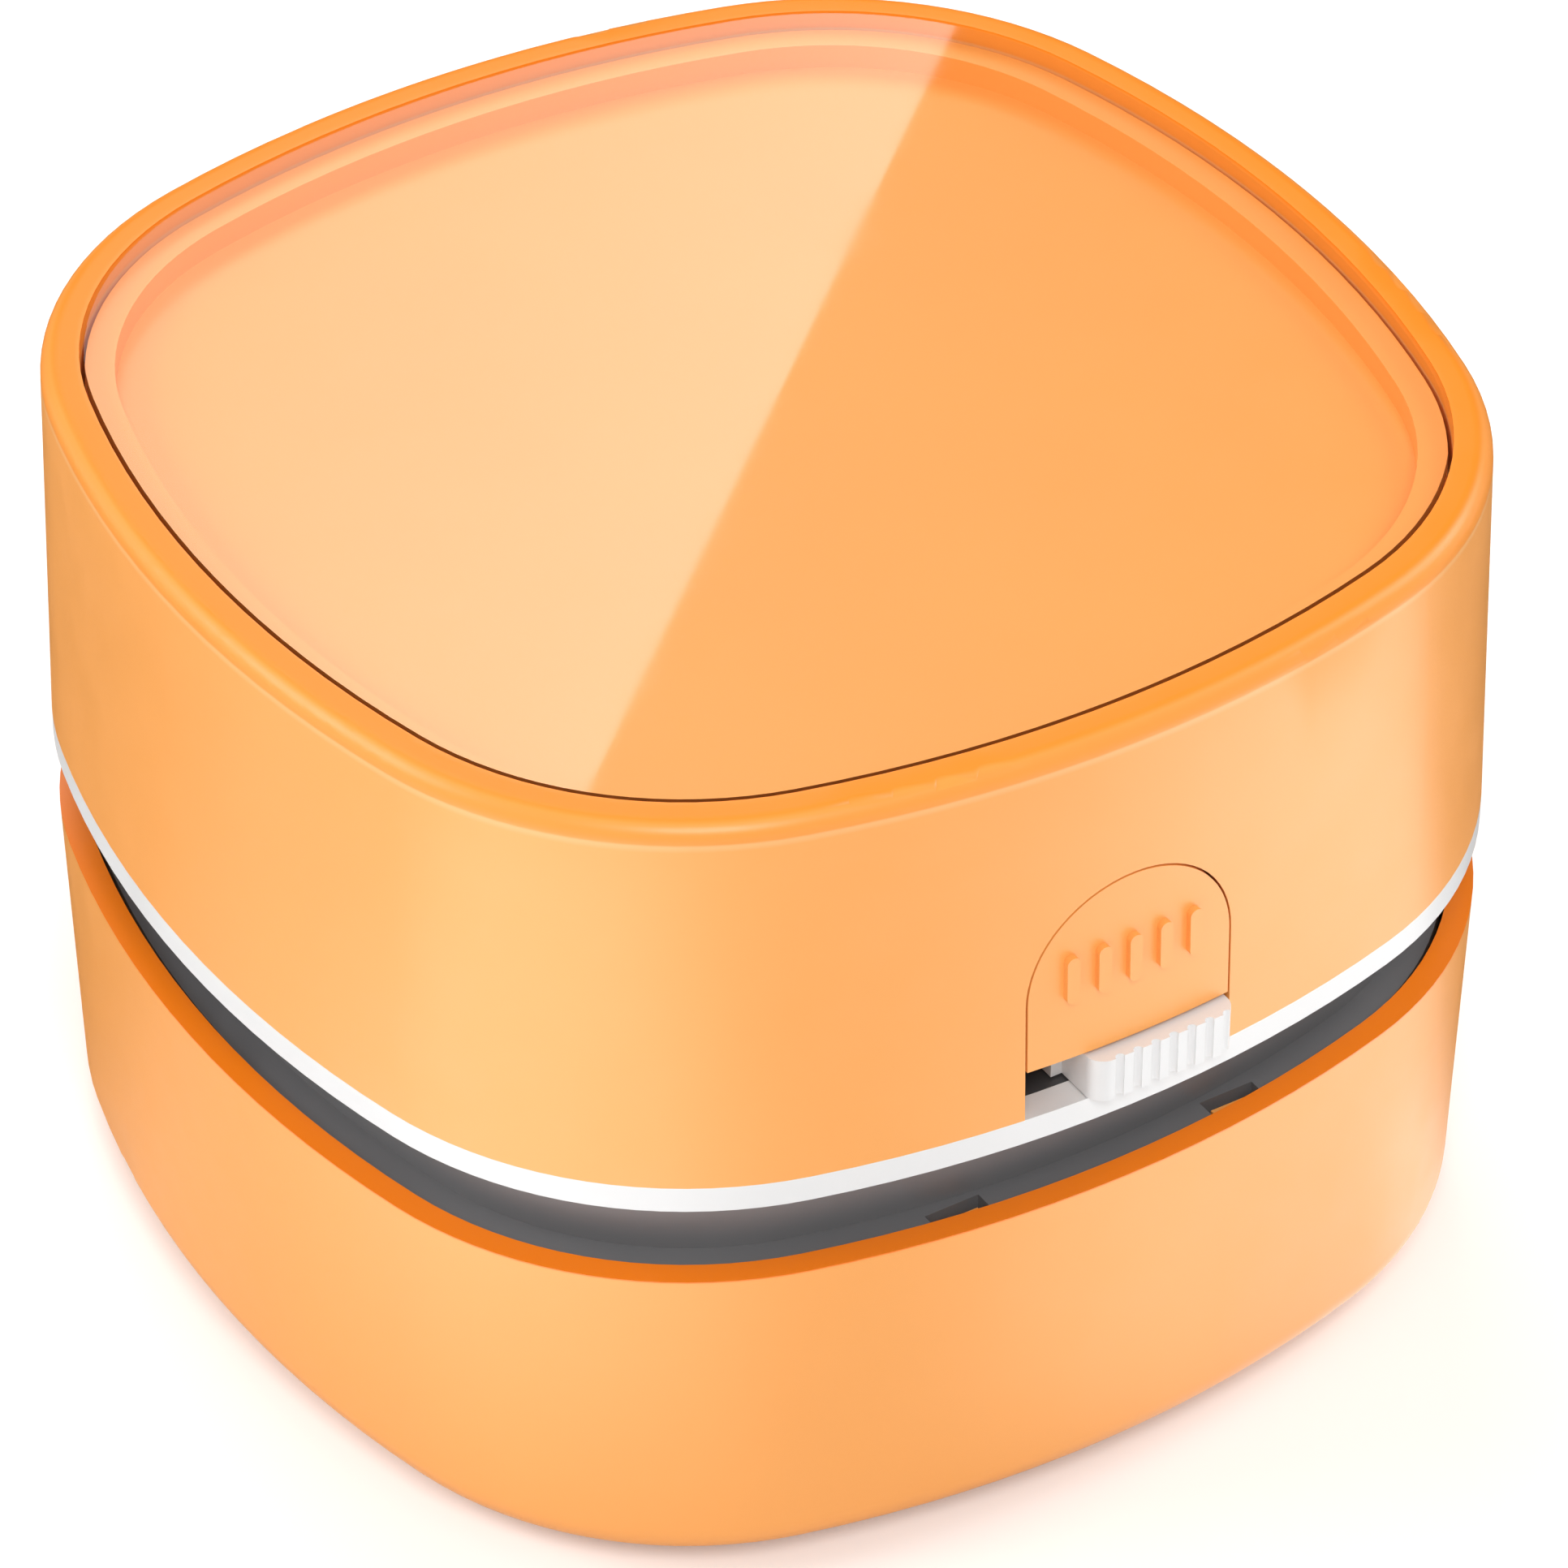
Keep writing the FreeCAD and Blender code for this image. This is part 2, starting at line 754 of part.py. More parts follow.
def u_shape(tip, root, radius):
    """Rounded tongue from y = -tip to y = -root, as wide as twice the radius."""
    centre = -tip + radius
    top_root = V(-spring_half_width, -root, z_spring + radius)
    top = V(-spring_half_width, centre, z_spring + radius)
    nose = V(-spring_half_width, -tip, z_spring)
    low = V(-spring_half_width, centre, z_spring - radius)
    low_root = V(-spring_half_width, -root, z_spring - radius)
    edges = [
        Part.makeLine(top_root, top),
        Part.Arc(top, nose, low).toShape(),
        Part.makeLine(low, low_root),
        Part.makeLine(low_root, top_root),
    ]
    return Part.Face(Part.Wire(edges)).extrude(V(2.0 * spring_half_width, 0, 0))


def cradle_front():
    """Distance from the middle to the face that the leaf spring sits on."""
    return cradle_end() + spring_seat_depth


def cradle_end():
    return cell_length / 2.0 + cradle_end_gap + cradle_wall


def battery_cradle():
    """Two troughs with end walls on legs, with a pocket for the motor between them."""
    end = cradle_end()
    trough_outer = cell_radius + cradle_gap + cradle_wall
    low = z_cell - trough_outer
    high = z_cell + cradle_side_rise
    side = cell_place + trough_outer
    troughs = []
    for x in (-cell_place, cell_place):
        tube = Part.makeCylinder(trough_outer, 2.0 * end, V(x, -end, z_cell), ALONG_Y)
        troughs.append(tube.common(box(x - trough_outer, x + trough_outer, -end, end, low, high)))
    bridge_low = low + cradle_bridge_rise
    bridge = box(-cell_place, cell_place, -end, end, bridge_low, bridge_low + cradle_bridge_height)
    pocket_x = motor_half_flat + cradle_gap + cradle_wall
    pocket_y = motor_radius + cradle_gap + cradle_wall
    pocket = box(-pocket_x, pocket_x, -pocket_y, pocket_y, bridge_low, high)
    body = fuse(troughs + [bridge, pocket])
    ends = []
    for y0, y1 in ((-end, -end + cradle_wall), (end - cradle_wall, end)):
        ends.append(box(-side, side, y0, y1, low + cradle_end_low, z_cell + cradle_end_rise))
    hollows = []
    bore_half = end - cradle_wall
    for x in (-cell_place, cell_place):
        bore = Part.makeCylinder(cell_radius + cradle_gap, 2.0 * bore_half, V(x, -bore_half, z_cell), ALONG_Y)
        hollows.append(bore)
    hollows.append(motor_outline(cradle_gap).extrude(V(0, 0, high - z_deck)))
    body = body.cut(Part.makeCompound(hollows))
    legs = []
    for x in (-leg_place_x, leg_place_x):
        for y in (-leg_place_y, leg_place_y):
            legs.append(rod(leg_radius, x, y, z_deck, low + cradle_wall))
    seat_half = spring_half_width + spring_seat_side
    seat_reach = spring_radius + spring_seat_margin
    seat = box(-seat_half, seat_half, -cradle_front(), -end + join_depth,
               z_spring - seat_reach, z_spring + seat_reach)
    return fuse([body, seat] + ends + legs)


def motor_outline(gap):
    """Flat-sided round outline of the motor, at the deck."""
    radius = motor_radius + gap
    half = motor_half_flat + gap
    reach = math.sqrt(radius ** 2 - half ** 2)
    right_low = V(half, -reach, z_deck)
    right_high = V(half, reach, z_deck)
    left_high = V(-half, reach, z_deck)
    left_low = V(-half, -reach, z_deck)
    edges = [
        Part.makeLine(right_low, right_high),
        Part.Arc(right_high, V(0, radius, z_deck), left_high).toShape(),
        Part.makeLine(left_high, left_low),
        Part.Arc(left_low, V(0, -radius, z_deck), right_low).toShape(),
    ]
    return Part.Face(Part.Wire(edges))


def motor_can():
    can = motor_outline(0.0).extrude(V(0, 0, motor_length))
    can = can.makeChamfer(motor_edge, edges_at(can, z_motor_top))
    boss = rod(motor_boss_radius, 0, 0, z_boss, z_deck)
    can = fuse([can, boss])
    can = can.cut(rod(shaft_radius + shaft_gap, 0, 0, z_boss, z_motor_top))
    can = can.cut(rod(bush_radius, 0, 0, z_boss, z_boss + bush_length))
    for y in (-motor_screw_place, motor_screw_place):
        can = can.cut(rod(motor_screw_radius, 0, y, z_deck, z_deck + motor_screw_depth))
    return can


def motor_end_cap():
    """Plastic end of the motor with its two terminals."""
    cap = motor_outline(-end_cap_inset).extrude(V(0, 0, end_cap_length))
    cap.translate(V(0, 0, motor_length))
    high = z_motor_top + end_cap_length
    half_x = terminal_width / 2.0
    half_y = terminal_thickness / 2.0
    pieces = [cap]
    for y in (-terminal_place, terminal_place):
        pieces.append(box(-half_x, half_x, y - half_y, y + half_y, high - join_depth, high + terminal_rise))
    cap = fuse(pieces)
    return cap.cut(rod(shaft_radius + shaft_gap, 0, 0, z_motor_top, z_motor_top + end_cap_bore))


def motor_bush():
    bush = rod(bush_radius, 0, 0, z_boss, z_boss + bush_length)
    return bush.cut(rod(shaft_radius + shaft_gap / 2.0, 0, 0, z_boss, z_boss + bush_length))


def motor_screws():
    screws = []
    for y in (-motor_screw_place, motor_screw_place):
        head = rod(motor_screw_head, 0, y, z_ring - motor_screw_head_height, z_ring)
        shank = rod(motor_screw_radius, 0, y, z_ring, z_deck + motor_screw_depth - trim_gap)
        screws.append(fuse([head, shank]))
    return Part.makeCompound(screws)


def motor_shaft():
    return rod(shaft_radius, 0, 0, z_hub - shaft_below_hub, z_motor_top + shaft_in_cap)


def impeller():
    """Open radial fan: hub, back plate above, and backward-curved blades below it."""
    low = z_fan + impeller_floor_gap
    high = low + impeller_height
    plate_low = high - impeller_plate
    hub = rod(hub_radius, 0, 0, z_hub, high)
    plate = rod(impeller_radius, 0, 0, plate_low, high)
    tip = impeller_radius - blade_rim_inset
    envelope_profile = [
        V(0, 0, low),
        V(eye_radius, 0, low),
        V(tip, 0, low + blade_rise),
        V(tip, 0, high),
        V(0, 0, high),
        V(0, 0, low),
    ]
    envelope = Part.Face(Part.makePolygon(envelope_profile)).revolve(V(0, 0, 0), UP, 360)
    blades = []
    for index in range(blade_count):
        blade = fan_blade(low, high)
        blade.rotate(V(0, 0, 0), UP, 360.0 * index / blade_count)
        blades.append(blade.common(envelope))
    wheel = fuse([hub, plate] + blades)
    return wheel.cut(rod(shaft_radius, 0, 0, low, high))


def fan_blade(low, high):
    """One backward-curved blade of even thickness, standing from low to high."""
    stations = [
        (hub_radius - join_depth, 0.0),
        (blade_middle, blade_lean_middle),
        (impeller_radius + cut_past, blade_lean_tip),
    ]
    front = []
    rear = []
    for radius, angle in stations:
        spread = blade_thickness / 2.0 / radius
        for side, target in ((1.0, front), (-1.0, rear)):
            turn = -math.radians(angle) + side * spread
            target.append(V(radius * math.cos(turn), radius * math.sin(turn), low))
    edges = [
        Part.Arc(front[0], front[1], front[2]).toShape(),
        Part.makeLine(front[2], rear[2]),
        Part.Arc(rear[2], rear[1], rear[0]).toShape(),
        Part.makeLine(rear[0], front[0]),
    ]
    return Part.Face(Part.Wire(edges)).extrude(V(0, 0, high - low))


def battery_cell(x):
    """Round dry cell lying along Y, its raised end towards +Y."""
    half = cell_length / 2.0
    can = Part.makeCylinder(cell_radius, cell_length - cell_nub_length, V(x, -half, z_cell), ALONG_Y)
    rims = [edge for edge in can.Edges if edge.BoundBox.YLength < same_place]
    can = can.makeChamfer(cell_edge, rims)
    nub = Part.makeCylinder(cell_nub_radius, cell_nub_length, V(x, half - cell_nub_length, z_cell), ALONG_Y)
    return fuse([can, nub])


def contact_plates():
    """Flat spring plates at the raised ends of the cells."""
    wall = cradle_end() - cradle_wall
    plates = []
    for x in (-cell_place, cell_place):
        base = box(x - contact_half_width, x + contact_half_width, wall - contact_thickness, wall,
                   z_cell - contact_half_height, z_cell + contact_half_height)
        nub_gap = wall - contact_thickness - cell_length / 2.0
        dimple = Part.makeCone(dimple_tip_radius, dimple_base_radius, nub_gap,
                               V(x, cell_length / 2.0, z_cell), ALONG_Y)
        plates.append(fuse([base, dimple]))
    return Part.makeCompound(plates)


def contact_springs():
    """Bowed leaf springs that press on the flat ends of the cells."""
    wall = -cradle_end() + cradle_wall
    cell_end = -cell_length / 2.0
    springs = []
    for x in (-cell_place, cell_place):
        springs.append(bowed_leaf(x, wall, cell_end))
    return Part.makeCompound(springs)


def bowed_leaf(x, wall, crest):
    """Strip bent from the wall to the crest and back, seen from above."""
    low = z_cell - contact_strip_half
    thin = contact_thickness
    outer_half = contact_half_width
    inner_half = contact_half_width - 2.0 * thin
    outer = [V(x - outer_half, wall, low), V(x, crest, low), V(x + outer_half, wall, low)]
    inner = [V(x - inner_half, wall, low), V(x, crest - thin, low), V(x + inner_half, wall, low)]
    edges = [
        Part.Arc(outer[0], outer[1], outer[2]).toShape(),
        Part.makeLine(outer[2], inner[2]),
        Part.Arc(inner[2], inner[1], inner[0]).toShape(),
        Part.makeLine(inner[0], outer[0]),
    ]
    return Part.Face(Part.Wire(edges)).extrude(V(0, 0, 2.0 * contact_strip_half))


def housing_screws():
    screws = []
    head_low = z_fan_floor + screw_recess - screw_head_height
    for x, y in corner_places(post_place):
        head = rod(screw_head_radius, x, y, head_low, head_low + screw_head_height)
        shank = rod(screw_radius, x, y, head_low + screw_head_height, z_deck + screw_bite)
        screws.append(fuse([head, shank]))
    return Part.makeCompound(screws)


def switch_knob():
    """Grooved sliding knob with its shoe behind the wall and a forked tongue."""
    left = knob_middle - knob_width / 2.0
    right = knob_middle + knob_width / 2.0
    low = z_deck + knob_lift
    high = low + knob_height
    front = -half_width - knob_proud
    shoe_front = -half_width + upper_wall + shoe_setback
    shoe_back = shoe_front + shoe_thickness
    cap = box(left, right, front, shoe_front, low, high)
    corners = [edge for edge in cap.Edges if is_front_upright(edge, front)]
    cap = cap.makeFillet(knob_round, corners)
    for index in range(flute_count):
        x = left + flute_start + index * flute_pitch
        cap = cap.cut(rod(flute_radius, x, front, low, high))
    shoe = box(left - shoe_side, right + shoe_side, shoe_front, shoe_back, low, high - shoe_drop)
    tongue = box(knob_middle - tongue_half_width, knob_middle + tongue_half_width, shoe_back,
                 -switch_front - tongue_gap, low, high - tongue_drop)
    fork_half = slider_half_width + trim_gap
    fork_end = -switch_front - slider_reach - fork_end_gap
    fork = box(knob_middle - fork_half, knob_middle + fork_half, fork_end, -switch_front, low, high)
    return fuse([cap, shoe, tongue]).cut(fork)


def is_front_upright(edge, front):
    bounds = edge.BoundBox
    flush = abs(bounds.YMin - front) < same_place and abs(bounds.YMax - front) < same_place
    return flush and bounds.ZLength > 1.0


def switch_slider():
    low = z_deck + slider_low
    return box(knob_middle - slider_half_width, knob_middle + slider_half_width,
               -switch_front - slider_reach, -switch_front + slider_depth, low, low + slider_height)


def switch_body():
    """Small slide switch that the knob drives, with its three pins."""
    window_half = knob_travel / 2.0 + slider_half_width + window_side_gap
    half = window_half + switch_end_wall
    back = -switch_front + switch_depth
    body = box(-half, half, -switch_front, back, z_deck, z_deck + switch_height)
    window_low = z_deck + slider_low - window_gap
    window_high = z_deck + slider_low + slider_height + window_gap
    window = box(-window_half, window_half, -switch_front, -switch_front + slider_depth + fork_end_gap,
                 window_low, window_high)
    pin_half = switch_pin_width / 2.0
    pin_low = z_deck + switch_pin_low
    pins = []
    for x in (-switch_pin_pitch, 0.0, switch_pin_pitch):
        pins.append(box(x - pin_half, x + pin_half, back, back + switch_pin_length,
                        pin_low, pin_low + switch_pin_thickness))
    return fuse([body] + pins).cut(window)


def cover_tray():
    """Coloured tray of the top cover, under the clear panel."""
    high = z_top - panel_thickness
    tray = slab(land_inset + cover_gap, z_cover, high)
    return tray.cut(slab(land_inset + cover_gap + tray_rim, z_cover + tray_floor, high))


def cover_panel():
    return slab(land_inset + cover_gap, z_top - panel_thickness, z_top)


os.makedirs("parts", exist_ok=True)

nodes = {
    "lower_housing": lower_housing(),
    "glide_feet": glide_feet(),
    "brush_holder": brush_holder(),
    "bristles": bristles(),
    "fan_housing": fan_housing(),
    "face_seal": face_seal(),
    "filter_frame": filter_frame(),
    "filter_media": filter_media(),
    "trim_ring": trim_ring(),
    "motor_deck": motor_deck(),
    "upper_housing": upper_housing(),
    "release_button": release_button(),
    "pivot_pin": pivot_pin(),
    "return_spring": return_spring(),
    "battery_cradle": battery_cradle(),
    "battery_cell_left": battery_cell(-cell_place),
    "battery_cell_right": battery_cell(cell_place),
    "contact_plates": contact_plates(),
    "contact_springs": contact_springs(),
    "motor_can": motor_can(),
    "motor_end_cap": motor_end_cap(),
    "motor_bush": motor_bush(),
    "motor_screws": motor_screws(),
    "motor_shaft": motor_shaft(),
    "impeller": impeller(),
    "housing_screws": housing_screws(),
    "switch_knob": switch_knob(),
    "switch_slider": switch_slider(),
    "switch_body": switch_body(),
    "cover_tray": cover_tray(),
    "cover_panel": cover_panel(),
}

for name, shape in nodes.items():
    shape.exportStep(os.path.join("parts", name + ".step"))
    print(name, len(shape.Solids), shape.isValid(), round(shape.Volume, 2))
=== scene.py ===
import bpy
import math
import random
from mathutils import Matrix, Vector


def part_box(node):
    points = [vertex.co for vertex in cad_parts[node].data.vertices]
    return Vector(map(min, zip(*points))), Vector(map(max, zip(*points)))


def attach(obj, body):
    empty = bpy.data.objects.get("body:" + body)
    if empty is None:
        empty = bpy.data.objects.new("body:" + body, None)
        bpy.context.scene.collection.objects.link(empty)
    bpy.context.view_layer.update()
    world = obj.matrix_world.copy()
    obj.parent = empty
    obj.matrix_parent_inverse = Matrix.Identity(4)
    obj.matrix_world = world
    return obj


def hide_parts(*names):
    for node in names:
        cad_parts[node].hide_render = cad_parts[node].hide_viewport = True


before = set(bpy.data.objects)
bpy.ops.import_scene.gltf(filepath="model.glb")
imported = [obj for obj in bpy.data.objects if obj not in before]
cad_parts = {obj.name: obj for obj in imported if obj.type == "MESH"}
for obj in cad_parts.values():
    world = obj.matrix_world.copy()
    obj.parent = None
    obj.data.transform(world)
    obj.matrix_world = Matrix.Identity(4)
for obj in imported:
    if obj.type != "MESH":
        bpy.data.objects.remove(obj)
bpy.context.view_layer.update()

# Camera fitted to the photograph: angles in degrees, lengths in metres and pixels
PHOTO_SIDE = 1932.0
CAMERA_AZIMUTH = -31.96
CAMERA_ELEVATION = 37.84
CAMERA_DISTANCE = 0.5194
CAMERA_TARGET = Vector((0.0, 0.0, 0.0279))
FOCAL_PIXELS = 9966.5
PRINCIPAL_X = 938.3
PRINCIPAL_Y = 968.2
SENSOR = 36.0
CLIP_START = 0.01
CLIP_END = 20.0

# Heights read from the frame
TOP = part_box("upper_housing")[1].z
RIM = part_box("lower_housing")[1].z
COLLAR_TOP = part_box("trim_ring")[0].z

# Colours as linear values
ORANGE = (0.965, 0.405, 0.098)
# Painted shade: deeper tones of ORANGE on the top's flat land and rounded edge, which show none of
# the walls' sheen; the pale orange below them is a painted highlight
ORANGE_LAND = (0.965, 0.275, 0.012)
ORANGE_EDGE = (0.965, 0.335, 0.050)
ORANGE_HIGHLIGHT = (0.970, 0.520, 0.210)
# Painted shade: a deeper tone of ORANGE on the dust cup's rim, which shows none of the walls'
# sheen
ORANGE_RIM = (0.970, 0.215, 0.001)
WHITE = (0.800, 0.800, 0.800)
DARK_GLOSS = (0.030, 0.030, 0.031)
DARK_GREY = (0.055, 0.055, 0.058)
RUBBER = (0.020, 0.020, 0.021)
SLEEVE = (0.150, 0.165, 0.185)
SLEEVE_BAND = (0.560, 0.570, 0.580)
CLOTH = (0.780, 0.780, 0.740)
SHEET_TINT = (0.995, 0.985, 0.970)
# Painted shade: the clear sheet's sides, drawn dark for the shade in the seam round the cover
SHEET_EDGE = (0.150, 0.055, 0.007)
STEEL = (0.56, 0.57, 0.58)
STEEL_DRAWN = (0.60, 0.61, 0.62)
PLATED = (0.72, 0.72, 0.70)
BRASS = (0.66, 0.46, 0.18)
FLOOR = (0.90, 0.90, 0.90)
FULL = (1.0, 1.0, 1.0)

# Where a tone sets in and is full, as depths below TOP or RIM, in metres
# The first pair places a painted highlight, a pale line below the top's rounded edge; the next two
# pairs place painted shade on that edge and on the flat land
HIGHLIGHT_DEPTHS = (0.00185, 0.00145)
EDGE_DEPTHS = (0.00136, 0.00122)
LAND_DEPTHS = (0.00020, 0.00006)
# Painted shade on the rim of the dust cup
RIM_DEPTHS = (0.00014, 0.00006)
# Strength of the painted highlight line
HIGHLIGHT_SHARE = 0.55

# Collar: its painted sheen starts this far below the rim, and goes from one gain on DARK_GLOSS to
# another, greyer towards the top
COLLAR_FOOT = 0.001
COLLAR_GAINS = (4.8, 15.0)

# Share of a noise that is spread over the whole range of a blend or a roughness
PATCHES = (0.3, 0.7)
FLOW = (0.35, 0.65)
FIBRES = (0.15, 0.35)
FIBRES_ROUGH = (0.1, 0.4)

# Grain of plastic skins: noise scales per metre and height in metres
SKIN_SCALE = 4200.0
COLLAR_SKIN_SCALE = 3600.0
GRAIN = 0.00002
RUBBER_GRAIN = 0.00005
SKIN_DETAIL = 2.0

# Streaks in metal, by axis: an even grain, or lines drawn out along Z
EVEN = (1.0, 1.0, 1.0)
LONG = (1.0, 1.0, 0.06)

# Filter cloth: noise scale per metre and detail, how far a fibre is drawn out, its height in
# metres, and the weight of its sheen
FIBRE_SCALE = 2600.0
FIBRE_DETAIL = 4.0
FIBRE_STRETCH = 0.12
FIBRE_HEIGHT = 0.00012
CLOTH_SHEEN = 0.25

# Pale bands of a cell's sleeve along Y, in metres, and the length of its bare ends
CELL_BAND = (0.0148, 0.0150)
CELL_STRIPE_START = (-0.0212, -0.0210)
CELL_STRIPE_END = (-0.0196, -0.0198)
CELL_END = 0.0017

# Clear sheet: index of refraction, lift off the tray in metres, steepest face that is no side
SHEET_IOR = 1.49
SHEET_LIFT = 0.00002
SHEET_TOLERANCE = 0.00001
SHEET_LEVEL = 0.6

# Crisp edges: weld distance in metres and angle in degrees
WELD_DISTANCE = 0.000002
SHARP_ANGLE = 28.0

# Brush tufts: counts, and lengths in metres
TUFT_COUNT = 24
TUFT_CIRCLE = 0.0133
TUFT_RADIUS = 0.0009
STRANDS_PER_TUFT = 22
STRAND_RADIUS = 0.000085
STRAND_SIDES = 3
STRAND_SPANS = 4
STRAND_TAPER = 0.45
STRAND_TURN = 2.39996
STRAND_ROOT = 0.72
STRAND_SPREAD = (0.95, 1.15)
STRAND_UNEVEN = 0.0002
STRAND_BOW = (-0.00006, 0.00010)
BRUSH_SEED = 24

# Pleated filter: counts, lengths in metres, and shares of its radius or of its rise
PLEAT_COUNT = 2
PLEAT_SHARE = 0.93
PLEATED_REACH = 0.9
MEDIA_THICKNESS = 0.0006
MEDIA_HUB = 0.004
MEDIA_RINGS = 72
MEDIA_SIDES = 144
RIPPLE_SHARE = 0.06
RIPPLE_COUNT = 9.0
RIPPLE_TWIST = 40.0

# World level as the object is lit by it, and what the floor adds where it is seen directly
WORLD_LEVEL = 0.43
FLOOR_GLOW = 0.16
FLOOR_ROUGHNESS = 0.9
FLOOR_HALF = 6.0

# Studio cards and cloths: name, level, cover, softness, azimuth, reach, height, halves, tilt
CARDS = (
    ("cloth_front", 0.0, 0.50, 0.35, 0.0, 0.0, 0.00010, 0.34, 0.34, 0.0),
    ("cloth_back", 0.0, 0.98, 0.09, 148.0, 0.257, 0.00040, 0.60, 0.270, 0.0),
    ("card_left", 3.2, 1.0, 0.60, -60.0, 0.108, 0.00020, 0.070, 0.066, 0.0),
    ("card_right", 3.4, 1.0, 0.60, 48.0, 0.106, 0.00025, 0.068, 0.060, 0.0),
    ("card_near", 2.4, 1.0, 0.60, 27.0, 0.066, 0.00030, 0.042, 0.034, 0.0),
    ("cloth_wall", 0.0, 0.97, 0.15, 148.0, 0.520, 0.175, 0.80, 0.18, 90.0),
    ("cloth_above", 0.0, 1.0, 0.30, 148.0, 0.849, 0.67, 0.80, 0.62, 0.0),
)
CARD_TOP_PLACE = (0.3866, 0.8024, 0.6597)
CARD_TOP_HALVES = (0.105, 0.152)
CARD_TOP_TURN = -47.5
CARD_TOP_LEVELS = (0.65, 3.0)

# Lamps: name, azimuth, elevation, diameter in metres, power in watts
LAMP_DISTANCE = 1.8
LAMPS = (
    ("key", -25.0, 48.0, 0.8, 15.0),
    ("fill_left", -118.0, 30.0, 1.0, 13.0),
    ("fill_right", 85.0, 35.0, 1.0, 9.0),
    ("fill_back", 165.0, 45.0, 1.0, 8.0),
)


def direction(azimuth, elevation):
    """Unit vector for an azimuth measured from -Y towards +X, in degrees."""
    azimuth = math.radians(azimuth)
    elevation = math.radians(elevation)
    level = math.cos(elevation)
    return Vector((math.sin(azimuth) * level, -math.cos(azimuth) * level, math.sin(elevation)))


def make_camera():
    data = bpy.data.cameras.new("camera")
    data.sensor_width = SENSOR
    data.lens = FOCAL_PIXELS / PHOTO_SIDE * SENSOR
    data.shift_x = (PHOTO_SIDE / 2.0 - PRINCIPAL_X) / PHOTO_SIDE
    data.shift_y = (PRINCIPAL_Y - PHOTO_SIDE / 2.0) / PHOTO_SIDE
    data.clip_start = CLIP_START
    data.clip_end = CLIP_END
    camera = bpy.data.objects.new("camera", data)
    bpy.context.scene.collection.objects.link(camera)
    back = direction(CAMERA_AZIMUTH, CAMERA_ELEVATION)
    camera.location = CAMERA_TARGET + back * CAMERA_DISTANCE
    camera.rotation_euler = back.to_track_quat("Z", "Y").to_euler()
    bpy.context.scene.camera = camera


